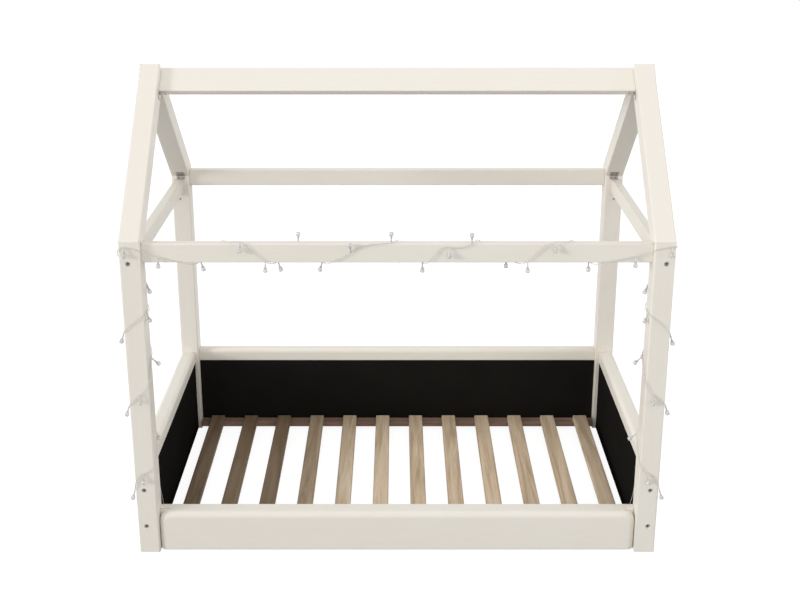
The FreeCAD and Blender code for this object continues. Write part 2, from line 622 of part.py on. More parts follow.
def make_ridge_brackets():
    """An angle bracket at each end of the ridge board, under its lower edge."""
    bracket = angle("LeftRidgeBracket", "angle_leg", "angle_leg")
    depth = "(ridge_board_recess + ridge_board_thickness / 2 + angle_width / 2)"
    # the bracket's second leg runs up the slope to the board, so it is turned over about the length of the bed
    turned = mirror(bracket, "LeftRidgeBracketTurned", "back")
    bind(
        turned, Placement__Rotation__Angle="atan(roof_rise / half_width)",
        Placement__Rotation__Axis__x="1", Placement__Rotation__Axis__y="0", Placement__Rotation__Axis__z="0")
    put(
        turned, "post_size - half_length",
        f"{depth} * roof_sine - ridge_board_foot * roof_cosine",
        f"ridge_height - {depth} * roof_cosine - ridge_board_foot * roof_sine")
    return keep(group("RidgeBrackets", [turned, mirror(turned, "RightRidgeBracket", "right")]), "ridge_brackets")


def make_beam_brackets():
    """Angle brackets behind the ends of both eave beams, screwed to the posts."""
    height = "eave_beam_bottom + (eave_beam_height - angle_width) / 2"
    made = []
    for label, back_face in (
        ("Front", "post_size - beam_recess - half_width"), ("Rear", "half_width - beam_recess")):
        bracket = angle(f"{label}BeamBracket", "beam_leg", "post_leg")
        put(bracket, "post_size - half_length", back_face, height)
        made += [bracket, mirror(bracket, f"{label}BeamBracketRight", "right")]
    return keep(group("BeamBrackets", made), "eave_beam_brackets")


def make_joint_plates():
    """Flat plates over the joints of the front rail, and let into the back of the rear posts and panel."""
    for label, y in (("rail", "post_size - half_width"), ("back_panel", "half_width - plate")):
        plates = [
            block(
                f"{label}_plate_{number}", "post_leg + rail_leg", "plate", "angle_width",
                "post_size - post_leg - half_length", y, f"{height} - angle_width / 2")
            for number, height in enumerate(("lower_plate_height", "upper_plate_height"))
        ]
        left = group(label + "_plates_left", plates)
        keep(group(label + "_plates", [left, mirror(left, label + "_plates_right", "right")]), label + "_joint_plates")


# ---------------------------------------------------------------- battery case of the lights

def make_battery_case():
    """The case on the left end panel: a cell bay with a lid, and a slot for the switch slider."""
    body = bar("CaseBlank", "XY_Plane", "case_depth", "case_length", "case_height")
    upright = value("case_height")
    round_edges(
        body, "case_rounding", lambda edge: abs(edge.Length - upright) < 1e-6 and edge.BoundBox.XMin > upright / 10)
    put(body, "case_left", "case_y", "case_floor_gap")
    bay = block(
        "CellBay", "case_depth - case_wall", "cell_bay_length", "cell_bay_height",
        "case_left + case_wall", bay_front, bay_bottom)
    slot = block(
        "SliderSlot", "slot_depth", "slider_width + 2 * slider_play",
        "slider_length + slider_travel + 2 * slider_play", "case_left + case_depth - slot_depth",
        slot_front, slot_bottom)
    keep(boolean("Cut", "Case", body, group("CaseHollows", [bay, slot])), "battery_case")
    lid = bar("Lid", "XY_Plane", "lid_thickness", "cell_bay_length + 2 * lid_lap", "cell_bay_height + 2 * lid_lap")
    put(lid, "case_left + case_depth", f"{bay_front} - lid_lap", f"{bay_bottom} - lid_lap")
    keep(lid, "battery_lid")


def make_cells():
    """Two plain many-sided cells, one over the other in their closed bay."""
    cells = []
    for number in range(2):
        cell = doc.addObject("Part::Prism", f"Cell{number}")
        cell.Polygon = CELL_SIDES
        bind(cell, Circumradius="cell_diameter / 2", Height="cell_length")
        cell.Placement.Rotation = Rotation(FACING["top"], FACING["back"])
        put(
            cell, "case_left + case_wall + cell_play + cell_diameter / 2", f"{bay_front} + cell_play",
            f"{bay_bottom} + cell_diameter / 2 + cell_play + {number} * (cell_diameter + cell_play)")
        cells.append(cell)
    return keep(group("Cells", cells), "battery_cells")


def make_slider():
    """The switch slider, at the lower end of its slot, which is off."""
    slider = bar("Slider", "XY_Plane", "slider_height", "slider_width", "slider_length")
    put(
        slider, "case_left + case_depth - slot_depth + slider_play",
        f"{slot_front} + slider_play", f"{slot_bottom} + slider_play")
    return keep(slider, "switch_slider")


def make_grommet():
    """The outlet that the wire leaves by."""
    grommet = doc.addObject("Part::Prism", "Grommet")
    grommet.Polygon = CELL_SIDES
    bind(grommet, Circumradius="grommet_diameter / 2", Height="grommet_height")
    put(grommet, "case_left + case_depth / 2 + 1", "case_y + outlet_place", "case_floor_gap + case_height")
    return keep(grommet, "wire_grommet")


# ---------------------------------------------------------------- string of lights

def route_pieces(points, bend):
    """Runs and bends along the route: each bend as its tangent point, centre, axis and angle."""
    steps = []
    start = points[0]
    for before, corner, after in zip(points, points[1:], points[2:]):
        way_in = (corner - before).normalize()
        way_out = (after - corner).normalize()
        turn = way_in.getAngle(way_out)
        shorter = min((corner - before).Length, (after - corner).Length)
        radius = 0.45 * shorter / math.tan(turn / 2)
        if math.degrees(turn) > FREE_STRAND_TURN:
            radius = min(radius, bend)
        trim = radius * math.tan(turn / 2)
        axis = way_in.cross(way_out).normalize()
        tangent = corner - way_in * trim
        centre = tangent + axis.cross(way_in) * radius
        steps.append({"from": start, "to": tangent, "centre": centre, "axis": axis, "turn": turn, "radius": radius})
        start = corner + way_out * trim
    steps.append({"from": start, "to": points[-1]})
    return steps


def wire_solid(points, diameter, bend):
    """A plain tube of few sides along the route: straight runs joined by tangent arcs."""
    edges = []
    radii = []
    length = 0
    for step in route_pieces(points, bend):
        edges.append(Part.LineSegment(step["from"], step["to"]).toShape())
        length += (step["to"] - step["from"]).Length
        if "turn" in step:
            arm = step["to"] - step["centre"]
            halfway, whole = (
                step["centre"] + Rotation(step["axis"], math.degrees(part)).multVec(arm)
                for part in (step["turn"] / 2, step["turn"]))
            edges.append(Part.Arc(step["to"], halfway, whole).toShape())
            length += step["radius"] * step["turn"]
            radii.append(step["radius"])
    way = (points[1] - points[0]).normalize()
    arm = way.cross(Vector(0, 1, 0)).normalize() * (diameter / 2)
    ring = [points[0] + Rotation(way, 360 / WIRE_SIDES * side).multVec(arm) for side in range(WIRE_SIDES)]
    section = Part.makePolygon(ring + ring[:1])
    solid = Part.Wire(edges).makePipeShell([section], True, False)
    share = solid.Volume / (Part.Face(section).Area * length)
    print("wire length", round(length, 1), "volume / (section x length)", round(share, 4))
    print("wire radii", " ".join(f"{radius:.0f}" for radius in radii), "smallest", round(min(radii), 1))
    return solid


def make_wire():
    points = [Vector(*point) for point in LEFT_POST_ROUTE + BEAM_ROUTE + RIGHT_POST_ROUTE]
    points[0] = Vector(
        value("case_left + case_depth / 2 + 1"), value("case_y + outlet_place"),
        value("case_floor_gap + case_height + grommet_height"))
    wire = doc.addObject("Part::Feature", "Wire")
    wire.Shape = wire_solid(points, value("wire_diameter"), value("edge_bend"))
    return keep(wire, "light_string_wire")


def make_bulb():
    """One plain faceted bulb of flat faces, narrow at the wire and wide at its end."""
    rings = []
    for radius, height in ((value("bulb_neck / 2"), 0), (value("bulb_diameter / 2"), value("bulb_length"))):
        corner = Vector(radius, 0, height)
        rings.append([Rotation(FACING["top"], 360 / BULB_SIDES * side).multVec(corner) for side in range(BULB_SIDES)])
    neck, end = rings
    sides = zip(neck, neck[1:] + neck[:1], end[1:] + end[:1], end)
    outlines = [neck, end] + [list(corners) for corners in sides]
    faces = [Part.Face(Part.makePolygon(outline + outline[:1])) for outline in outlines]
    bulb = doc.addObject("Part::Feature", "Bulb")
    bulb.Shape = Part.makeSolid(Part.makeShell(faces))
    return bulb


def make_bulbs(bulb, label, route, spots):
    """Copies of the bulb, moulded on the wire, each leaning off the wood."""
    bulbs = []
    for number, (run, share, side, way) in enumerate(spots):
        start = Vector(*route[run])
        along = Vector(*route[run + 1]) - start
        rise, lean = BULB_WAYS[way]
        axis = (FACING["top"] * rise + FACING[side] * lean).normalize()
        foot = start + along * share + axis * value("bulb_grip")
        copy = group(f"{label}_{number}", [bulb])
        copy.Placement = FreeCAD.Placement(foot, Rotation(FACING["top"], axis))
        bulbs.append(copy)
    return keep(group(label + "_group", bulbs), label)


# ---------------------------------------------------------------- build, check and write

def check_and_write():
    """Refuse a failed object, then write each piece to its own file."""
    doc.recompute()
    failed = [item.Label for item in doc.Objects if {"Invalid", "Error"} & set(item.State)]
    if failed:
        raise RuntimeError(f"failed objects: {failed}")
    os.makedirs("parts", exist_ok=True)
    for label, item in pieces:
        shape = item.Shape
        if shape.isNull() or not shape.isValid() or not shape.Solids:
            raise RuntimeError(f"bad shape: {label}")
        solids = shape.Solids
        written = solids[0] if len(solids) == 1 else Part.makeCompound(solids)
        written.exportStep(f"parts/{label}.step")
    print(len(pieces), "pieces written")


size_names = {name for name, _, _ in SIZES}
fill_sheet()
bolt_centres = [
    ("bolt_inset", "lower_bolt_height"), ("bolt_inset", "upper_bolt_height"),
    ("bolt_inset", "tie_bottom + tie_height / 2"),
]
bay_front = "case_y + switch_bay"
bay_bottom = "case_floor_gap + (case_height - cell_bay_height) / 2"
slot_front = "case_y + (switch_bay - slider_width) / 2 - slider_play"
slot_bottom = "case_floor_gap + (case_height - slider_length - slider_travel) / 2 - slider_play"

make_posts()
make_rafters()
make_ridge_board()
make_eave_beams()
make_tie_beams()
make_front_rail()
make_end_panels()
make_back_panel()
make_ledgers()
make_slats()
make_bolts()
make_eave_brackets()
make_ridge_brackets()
make_beam_brackets()
make_joint_plates()
make_battery_case()
make_cells()
make_slider()
make_grommet()
make_wire()
bulb = make_bulb()
make_bulbs(bulb, "left_post_bulbs", LEFT_POST_ROUTE + BEAM_ROUTE[:1], LEFT_POST_BULBS)
make_bulbs(bulb, "beam_bulbs", BEAM_ROUTE + RIGHT_POST_ROUTE[:1], BEAM_BULBS)
make_bulbs(bulb, "right_post_bulbs", RIGHT_POST_ROUTE, RIGHT_POST_BULBS)
check_and_write()
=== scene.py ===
import bmesh
import bpy
import json
import math
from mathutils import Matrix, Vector


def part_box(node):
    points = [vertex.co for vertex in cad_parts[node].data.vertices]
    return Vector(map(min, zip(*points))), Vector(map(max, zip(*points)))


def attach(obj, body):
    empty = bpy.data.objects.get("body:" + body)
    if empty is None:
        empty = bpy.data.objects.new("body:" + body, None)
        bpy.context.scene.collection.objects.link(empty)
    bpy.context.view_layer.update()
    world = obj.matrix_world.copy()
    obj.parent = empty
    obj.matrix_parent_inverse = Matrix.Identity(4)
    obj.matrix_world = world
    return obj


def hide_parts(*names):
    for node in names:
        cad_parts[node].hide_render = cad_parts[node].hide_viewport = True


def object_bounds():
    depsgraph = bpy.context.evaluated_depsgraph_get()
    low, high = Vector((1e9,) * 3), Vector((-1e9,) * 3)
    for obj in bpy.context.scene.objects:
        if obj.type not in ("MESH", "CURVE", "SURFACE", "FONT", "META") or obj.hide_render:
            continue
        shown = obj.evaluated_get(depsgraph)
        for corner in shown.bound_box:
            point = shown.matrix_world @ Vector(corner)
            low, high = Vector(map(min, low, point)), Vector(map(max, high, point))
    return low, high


# House frame bed with a string of small lights. Lengths are in metres, unless a comment says otherwise.
# +X runs along the bed, and -Y is its open front.

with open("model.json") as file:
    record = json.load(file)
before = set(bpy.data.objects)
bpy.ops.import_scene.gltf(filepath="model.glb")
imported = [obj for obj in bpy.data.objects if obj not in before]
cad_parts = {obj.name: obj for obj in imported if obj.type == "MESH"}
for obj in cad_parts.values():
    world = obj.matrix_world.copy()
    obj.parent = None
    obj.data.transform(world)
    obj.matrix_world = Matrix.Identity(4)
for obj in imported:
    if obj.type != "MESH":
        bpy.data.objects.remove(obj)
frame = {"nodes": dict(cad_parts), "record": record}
NODES = frame["nodes"]
CAD_BOX = [list(corner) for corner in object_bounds()]

# ---------------------------------------------------------------- sizes

WIRE_DIAMETER = 0.0022
BULB_GRIP = 0.0005  # axis of the wire to the narrow end of a bulb
# A bulb hangs or stands on its stem and leans off the wood, or points out from the wood and down.
BULB_WAYS = {"up": (1, 0.3), "down": (-1, 0.3), "out": (-0.9, 1)}
SEAM = 0.0016  # small arris on the timber, which shows as a line where two pieces meet
PLATE = 0.002  # steel of the brackets
EAVE_BRACKET_WIDTH = 0.028
EAVE_POST_SCREW = 0.0072  # down from the corner of a bent bracket
EAVE_RAFTER_SCREW = 0.0130  # up the slope from the same corner
BEAM_SCREWS = (0.010, 0.023)  # from the post, along an eave beam
PLATE_HEIGHTS = (0.050, 0.092)
PLATE_SCREWS = (-0.006, 0.010, 0.023)  # from the joint, along a joint plate
BOLT_INSET = 0.0235
BOLT_HEIGHTS = (0.086, 0.203, 0.894)
RIDGE_RADIUS = 0.0004
# Turned heads: radius and height over the face that they lie on, in metres.
SCREW_PROFILE = [
    (0.0000, 0.0000), (0.0034, 0.0000), (0.0033, 0.0006), (0.0024, 0.0012), (0.0013, 0.0014), (0.0012, 0.0008),
    (0.0000, 0.0008),
]
# A thin black disc on a bolt head: painted shade standing in for its hex socket.
SOCKET_SHADE_PROFILE = [(0.0000, 0.0000), (0.0030, 0.0000), (0.0030, 0.0002), (0.0000, 0.0002)]

FACING = {
    "front": Vector((0, -1, 0)), "back": Vector((0, 1, 0)),
    "left": Vector((-1, 0, 0)), "right": Vector((1, 0, 0)),
    "top": Vector((0, 0, 1)), "bottom": Vector((0, 0, -1)),
}

# The wire, from the battery case to its last bulb: points given along the wood, in millimetres.
# Three corners of the left post stand 2 mm further out than in the solids, so the smooth line clears it.
LEFT_POST_ROUTE = [
    (-695, -284, 45), (-697, -284, 63), (-701, -286, 84), (-701, -298, 116), (-700, -317, 152),
    (-701, -331, 197),
    (-700, -338, 243), (-699, -338, 282), (-707, -337, 303), (-730, -338, 305), (-754, -340, 300),
    (-754, -358, 262), (-754, -380, 223), (-754, -398, 198),
    (-752, -410, 208), (-747, -410, 235), (-737, -410, 254),
    (-713, -410, 263), (-688, -410, 282), (-688, -378, 315), (-688, -344, 357), (-720, -344, 397),
    (-754, -344, 432), (-754, -378, 453), (-754, -410, 470), (-733, -410, 496), (-686, -412, 536),
    (-688, -380, 588), (-688, -344, 626), (-720, -344, 650), (-754, -344, 668), (-754, -378, 679),
    (-754, -410, 694), (-734, -410, 716), (-686, -412, 753), (-688, -378, 746), (-688, -344, 737),
    (-702, -344, 775), (-688, -343, 814), (-715, -344, 846), (-756, -342, 872), (-754, -378, 902),
    (-754, -410, 930), (-741, -410, 945), (-720, -410, 941), (-698, -410, 935),
]
BEAM_ROUTE = [
    (-679, -401, 927), (-652, -395.5, 911), (-602, -395.5, 898), (-549, -395.5, 887.5), (-535, -358.5, 887.5),
    (-506, -358.5, 922), (-470, -358.5, 951.5), (-458, -395.5, 951.5), (-424, -396, 957), (-403, -395.5, 941),
    (-386, -395.5, 922), (-366, -395.5, 905), (-343, -395.5, 887.5), (-320, -358.5, 887.5), (-298, -358.5, 922),
    (-274, -358.5, 944), (-242, -358.5, 926), (-206, -358.5, 887.5), (-194, -395.5, 887.5), (-165, -395.5, 901),
    (-139, -395.5, 913), (-112, -395.5, 934), (-84, -395.5, 945), (-45, -395.5, 948.5), (-8, -395.5, 951.5),
    (2, -358.5, 951.5), (6, -358.5, 918), (25, -358.5, 897), (66, -358.5, 887.5), (77, -395.5, 887.5),
    (97, -395.5, 908), (112, -395.5, 930), (130, -395.5, 941), (156, -395.5, 935), (184, -395.5, 939),
    (207, -395.5, 951.5), (219, -358.5, 951.5), (257, -358.5, 920), (306, -358.5, 887.5), (341, -395.5, 887.5),
    (365, -395.5, 908), (385, -395.5, 928), (403, -395.5, 943), (426, -396, 957), (462, -395.5, 951.5),
    (474, -358.5, 951.5), (500, -358.5, 919), (521, -358.5, 887.5), (532, -395.5, 887.5), (564, -395.5, 895.5),
    (604, -395.5, 903), (648, -395.5, 913), (681, -401, 926),
]
RIGHT_POST_ROUTE = [
    (699, -410, 938), (722, -410, 941), (754, -410, 948), (754, -378, 930), (754, -344, 876), (720, -344, 850),
    (688, -343, 812), (702, -344, 776), (688, -344, 748), (688, -378, 744), (688, -410, 749), (722, -410, 722),
    (754, -410, 690), (754, -378, 671), (754, -344, 655), (720, -344, 637), (688, -344, 613), (688, -366, 585),
    (688, -391, 568), (688, -410, 551), (703, -410, 517), (720, -410, 502), (754, -410, 478), (754, -378, 455),
    (754, -344, 438), (720, -344, 403), (688, -344, 366), (688, -366, 324), (688, -410, 292), (703, -410, 264),
    (724, -410, 257), (741, -410, 241), (752, -410, 209), (754, -398, 198), (754, -380, 223), (754, -358, 262),
    (754, -340, 300), (730, -338, 305), (707, -337, 303), (699, -338, 282), (700, -338, 243), (701, -331, 197),
    (700, -318, 155), (701, -303, 123), (701, -274, 78), (699, -270, 52),
]
# Bulbs: the run of the route that each one grips, how far along it, the side of the wood it faces, and its way.
LEFT_POST_BULBS = [
    (8, 0.5, "top", "up"), (13, 0.55, "left", "down"), (16, 0.5, "front", "down"), (20, 0.1, "right", "down"),
    (21, 0.3, "back", "down"), (23, 0.8, "left", "down"), (25, 0.3, "front", "down"), (27, 0.3, "right", "out"),
    (29, 0.1, "back", "down"), (31, 0.5, "left", "down"), (34, 0.5, "right", "down"),
    (38, 0.0, "right", "down"), (39, 0.7, "back", "down"), (43, 0.4, "front", "down"),
]
BEAM_BULBS = [
    (1, 0.15, "front", "down"), (3, 0.75, "right", "down"), (8, 0.0, "front", "down"),
    (11, 0.4, "front", "down"), (12, 0.75, "right", "down"), (15, 0.2, "top", "up"),
    (17, 0.25, "left", "down"), (20, 0.5, "front", "up"),
    (23, 0.75, "top", "up"), (26, 0.3, "left", "down"), (28, 0.3, "bottom", "down"), (32, 0.4, "front", "down"),
    (34, 0.7, "top", "up"), (37, 0.85, "back", "down"), (39, 0.5, "front", "down"), (43, 0.0, "front", "down"),
    (47, 0.25, "bottom", "down"), (50, 0.85, "front", "down"),
]
RIGHT_POST_BULBS = [
    (1, 0.5, "front", "down"), (4, 0.5, "back", "down"), (6, 0.0, "left", "down"), (9, 0.5, "left", "down"),
    (12, 0.5, "right", "down"), (15, 0.9, "back", "down"), (16, 0.5, "left", "out"), (20, 0.6, "front", "down"),
    (22, 0.35, "right", "down"), (25, 0.3, "back", "down"), (26, 0.2, "left", "out"),
    (29, 0.75, "front", "down"), (32, 0.5, "right", "down"), (37, 0.5, "top", "up"), (44, 1.0, "left", "down"),
]
# A drop on a short stem: radius and distance from the wire's side, in metres.
BULB_PROFILE = [
    (0.0000, 0.0000), (0.0016, 0.0002), (0.0021, 0.0020), (0.0020, 0.0080), (0.0023, 0.0100), (0.0022, 0.0130),
    (0.0030, 0.0152), (0.0044, 0.0180), (0.0057, 0.0210), (0.0064, 0.0240), (0.0064, 0.0264), (0.0056, 0.0285),
    (0.0036, 0.0297), (0.0000, 0.0300),
]
BULB_FACES = [1] * 5 + [0] * 8  # the sleeve at the wire, then the clear drop
# The small lamp inside the drop.
LAMP_PROFILE = [(0.0000, 0.0125), (0.0015, 0.0127), (0.0015, 0.0190), (0.0010, 0.0202), (0.0000, 0.0206)]
LAMP_FACES = [2] * 4
BULB_SEGMENTS = 14
# Slider and lid: ridges, pitch and length of a ridge in metres.
SLIDER_RIDGES = (3, 0.0012, 0.0030)
LID_RIDGES = (5, 0.0018, 0.0110)
CAMERA_PLACE = (0, -3.2995, 1.9518)
CAMERA_TILT = 73.14  # degrees from straight down
CAMERA_LENS = 51.36
CAMERA_SHIFT = (0.0035, -0.125)


# ---------------------------------------------------------------- materials

def new_material(name, color, roughness):
    """A Principled material; returns its tree, shader and object coordinates."""
    material = bpy.data.materials.new(name)
    material.use_nodes = True
    tree = material.node_tree
    shader = tree.nodes["Principled BSDF"]
    shader.inputs["Base Color"].default_value = (*color, 1)
    shader.inputs["Roughness"].default_value = roughness
    coordinates = tree.nodes.new("ShaderNodeTexCoord").outputs["Object"]
    return material, tree, shader, coordinates


def stretched(tree, vector, scale):
    """The coordinates times a scale for each axis."""
    mapping = tree.nodes.new("ShaderNodeMapping")
    mapping.inputs["Scale"].default_value = scale
    tree.links.new(vector, mapping.inputs["Vector"])
    return mapping.outputs["Vector"]


def noise(tree, vector, scale, detail=2.0, roughness=0.5, distortion=0.0):
    texture = tree.nodes.new("ShaderNodeTexNoise")
    settings = {"Scale": scale, "Detail": detail, "Roughness": roughness, "Distortion": distortion}
    for name, value in settings.items():
        texture.inputs[name].default_value = value
    tree.links.new(vector, texture.inputs["Vector"])
    return texture.outputs["Fac"]


def ramp(tree, factor, stops):
    """A colour ramp through (place, colour) stops."""
    item = tree.nodes.new("ShaderNodeValToRGB")
    elements = item.color_ramp.elements
    while len(elements) < len(stops):
        elements.new(0.5)
    for element, (place, color) in zip(elements, stops):
        element.position = place
        element.color = (*color, 1)
    tree.links.new(factor, item.inputs["Fac"])
    return item.outputs["Color"]


def scaled(tree, factor, low, high):
    """Map a factor of about 0.3 to 0.7 to the two values."""
    item = tree.nodes.new("ShaderNodeMapRange")
    for name, value in (("From Min", 0.3), ("From Max", 0.7), ("To Min", low), ("To Max", high)):
        item.inputs[name].default_value = value
    tree.links.new(factor, item.inputs["Value"])
    return item.outputs["Result"]


def bump(tree, shader, height, strength, distance):
    item = tree.nodes.new("ShaderNodeBump")
    item.inputs["Strength"].default_value = strength
    item.inputs["Distance"].default_value = distance
    tree.links.new(height, item.inputs["Height"])
    tree.links.new(item.outputs["Normal"], shader.inputs["Normal"])


def mixed(tree, first, second, factor, blend="MIX"):
    item = tree.nodes.new("ShaderNodeMix")
    item.data_type = "RGBA"
    item.blend_type = blend
    for socket, value in ((item.inputs[0], factor), (item.inputs[6], first), (item.inputs[7], second)):
        if isinstance(value, bpy.types.NodeSocket):
            tree.links.new(value, socket)
        else:
            socket.default_value = value
    return item.outputs[2]


GRAIN = {"X": (0.06, 1, 1), "Y": (1, 0.06, 1), "Z": (1, 1, 0.06)}


def paint(name, grain):
    """Cream-white satin paint on planed timber: the grain shows only as a faint ripple along the piece."""
    material, tree, shader, place = new_material(name, PAINT, 0.42)
    along = stretched(tree, place, GRAIN[grain])
    ripple = noise(tree, along, 220, 3, 0.55)
    cloud = noise(tree, place, 3.5, 2)
    warm = ramp(tree, cloud, [(0.3, PAINT_WARM), (0.7, PAINT)])
    fine = ramp(tree, ripple, [(0.35, (0.985, 0.985, 0.98)), (0.6, (1, 1, 1))])
    tree.links.new(mixed(tree, warm, fine, 1.0, "MULTIPLY"), shader.inputs["Base Color"])
    tree.links.new(scaled(tree, ripple, 0.38, 0.5), shader.inputs["Roughness"])
    shader.inputs["Specular IOR Level"].default_value = 0.4
    bump(tree, shader, ripple, 0.12, 0.0006)
    return material


def bare_wood(name, grain, dark, middle, pale, rings, darkening_along_bed):
    """Planed timber: rings drawn out along the piece, fine fibres, and a factor that darkens it towards the
    left end of the bed, which on the slats is painted shade.
    """
    material, tree, shader, place = new_material(name, middle, 0.62)
    along = stretched(tree, place, GRAIN[grain])
    figure = noise(tree, along, rings, 4, 0.6, 1.2)
    fibre = noise(tree, stretched(tree, along, (4, 4, 4)), 260, 2, 0.7)
    across = tree.nodes.new("ShaderNodeSeparateXYZ")
    tree.links.new(place, across.inputs["Vector"])
    tone = tree.nodes.new("ShaderNodeMapRange")
    tone.inputs["From Min"].default_value = CAD_BOX[0][0]
    tone.inputs["From Max"].default_value = CAD_BOX[1][0]
    tree.links.new(across.outputs["X"], tone.inputs["Value"])
    body = ramp(tree, figure, [(0.32, dark), (0.5, middle), (0.68, pale)])
    fine = ramp(tree, fibre, [(0.3, (0.86, 0.84, 0.8)), (0.62, (1, 1, 1))])
    # Darker towards the left end of the bed; on the slats this is painted shade.
    piece = ramp(tree, tone.outputs["Result"], darkening_along_bed)
    grained = mixed(tree, body, fine, 1.0, "MULTIPLY")
    tree.links.new(mixed(tree, grained, piece, 1.0, "MULTIPLY"), shader.inputs["Base Color"])
    tree.links.new(scaled(tree, fibre, 0.55, 0.72), shader.inputs["Roughness"])
    bump(tree, shader, fibre, 0.35, 0.0004)
    return material


def black_board():
    """Matt black board with a very fine tooth."""
    material, tree, shader, place = new_material("black_board", (0.0125, 0.0113, 0.0101), 0.6)
    tooth = noise(tree, place, 900, 2)
    smear = noise(tree, place, 9, 3)
    tree.links.new(scaled(tree, smear, 0.52, 0.68), shader.inputs["Roughness"])
    black = ramp(tree, smear, [(0.3, (0.0117, 0.0106, 0.0095)), (0.7, (0.0136, 0.0123, 0.011))])
    tree.links.new(black, shader.inputs["Base Color"])
    shader.inputs["Specular IOR Level"].default_value = 0.0
    bump(tree, shader, tooth, 0.15, 0.0002)
    return material


def zinc(name, color, roughness):
    """Bright zinc plate with a fine rolled grain."""
    material, tree, shader, place = new_material(name, color, roughness)
    shader.inputs["Metallic"].default_value = 1.0
    grain = noise(tree, stretched(tree, place, (1, 1, 8)), 400, 2)
    tree.links.new(scaled(tree, grain, roughness - 0.06, roughness + 0.1), shader.inputs["Roughness"])
    shade = ramp(tree, noise(tree, place, 60, 2), [(0.35, [0.85 * c for c in color]), (0.65, color)])
    tree.links.new(shade, shader.inputs["Base Color"])
    bump(tree, shader, grain, 0.1, 0.0001)
    return material


def plastic(name, color, roughness, transmission=0.0):
    """Moulded plastic with a faint unevenness."""
    material, tree, shader, place = new_material(name, color, roughness)
    shader.inputs["Transmission Weight"].default_value = transmission
    mould = noise(tree, place, 350, 2)
    tree.links.new(scaled(tree, mould, roughness - 0.03, roughness + 0.05), shader.inputs["Roughness"])
    bump(tree, shader, mould, 0.06, 0.0001)
    return material


PAINT = (0.83, 0.79, 0.72)
PAINT_WARM = (0.815, 0.77, 0.695)
SLAT_TONES = ((0.47, 0.34, 0.215), (0.68, 0.53, 0.37), (0.80, 0.66, 0.49))
# Painted shade: the slats on the left are darkened as the shadow of the left end panel: share of the bed's
# length, and a factor on the tones.
SLAT_PAINTED_SHADE = [(0.25, (0.30, 0.26, 0.22)), (0.42, (1.0, 1.0, 1.0))]
LEDGER_TONES = ((0.22, 0.13, 0.09), (0.32, 0.20, 0.145), (0.40, 0.27, 0.2))

paints = {grain: paint(f"cream_paint_along_{grain.lower()}", grain) for grain in GRAIN}
slat_wood = bare_wood("slat_wood", "Y", *SLAT_TONES, 34, SLAT_PAINTED_SHADE)
ledger_wood = bare_wood("ledger_wood", "X", *LEDGER_TONES, 40, [(0.0, (0.9, 0.9, 0.9)), (1.0, (1, 1, 1))])
board = black_board()
bracket_zinc = zinc("bracket_zinc", (0.52, 0.50, 0.49), 0.36)
bolt_zinc = zinc("bolt_zinc", (0.34, 0.33, 0.32), 0.4)
case_white = plastic("case_white", (0.72, 0.70, 0.65), 0.35)
switch_black = plastic("switch_black", (0.02, 0.02, 0.02), 0.4)
cell_jacket = plastic("cell_jacket", (0.08, 0.08, 0.09), 0.3)
wire_jacket = plastic("wire_jacket", (0.66, 0.64, 0.60), 0.3)
bulb_clear = plastic("bulb_clear", (0.80, 0.80, 0.81), 0.12, transmission=0.5)
bulb_sleeve = plastic("bulb_sleeve", (0.60, 0.60, 0.60), 0.3)
lamp_glass = plastic("lamp_glass", (0.75, 0.66, 0.42), 0.15)
screw_zinc = zinc("screw_zinc", (0.30, 0.28, 0.27), 0.45)
# Painted shade: matt black that stands in for the dark hex sockets of the bolt heads.
socket_painted_shade = plastic("socket_painted_shade", (0.02, 0.02, 0.02), 0.6)

GRAIN_OF = {
    "rafter": "Y", "tie_beam": "Y", "left_panel_cap": "Y", "right_panel_cap": "Y", "post": "Z", "stile": "Z",
}
MATERIAL_OF_SLOT = {
    "black_panel": board, "slat_timber": slat_wood, "ledger_timber": ledger_wood, "zinc_steel": bracket_zinc,
    "bolt_steel": bolt_zinc, "case_plastic": case_white, "switch_plastic": switch_black,
    "cell_jacket": cell_jacket,
}


def grain_of(node):
    """The way a painted piece runs."""
    if node in ("left_panel_bottom_rail", "right_panel_bottom_rail"):
        return "Y"
    return next((way for word, way in GRAIN_OF.items() if word in node), "X")


def dress_nodes():
    """Give each CAD piece its material, and its timber a small arris."""
    for part in frame["record"]["subparts"]:
        node, slot_name = part["node"], part["material_slot"]
        item = NODES[node]
        material = MATERIAL_OF_SLOT.get(slot_name)
        if slot_name == "white_painted_timber":
            material = paints[grain_of(node)]
        if material is None:
            continue
        item.data.materials.clear()
        item.data.materials.append(material)
        if slot_name in ("white_painted_timber", "slat_timber", "ledger_timber", "case_plastic"):
            arris(item)


def arris(item):
    weld = item.modifiers.new("weld", "WELD")
    weld.merge_threshold = 1e-5
    bevel = item.modifiers.new("arris", "BEVEL")
    bevel.width = SEAM if item.name not in ("battery_case", "battery_lid") else SEAM / 3
    bevel.segments = 2
    bevel.limit_method = "ANGLE"
    bevel.angle_limit = math.radians(35)
    bevel.harden_normals = True
    bevel.use_clamp_overlap = "post" in item.name  # the holes in the posts need it


# ---------------------------------------------------------------- string of lights

def metres(points):
    return [Vector(point) / 1000 for point in points]


def make_wire():
    """One smooth NURBS line from the case to the last bulb."""
    route = metres(LEFT_POST_ROUTE + BEAM_ROUTE + RIGHT_POST_ROUTE)
    curve = bpy.data.curves.new("light_wire", "CURVE")
    curve.dimensions = "3D"
    curve.bevel_depth = WIRE_DIAMETER / 2
    curve.bevel_resolution = 3
    curve.resolution_u = 8
    curve.use_fill_caps = True
    spline = curve.splines.new("NURBS")
    spline.points.add(len(route) - 1)
    for point, place in zip(spline.points, route):
        point.co = (*place, 1)
    spline.order_u = 3
    spline.use_endpoint_u = True
    wire = bpy.data.objects.new("light_wire", curve)
    bpy.context.scene.collection.objects.link(wire)
    curve.materials.append(wire_jacket)
    return wire


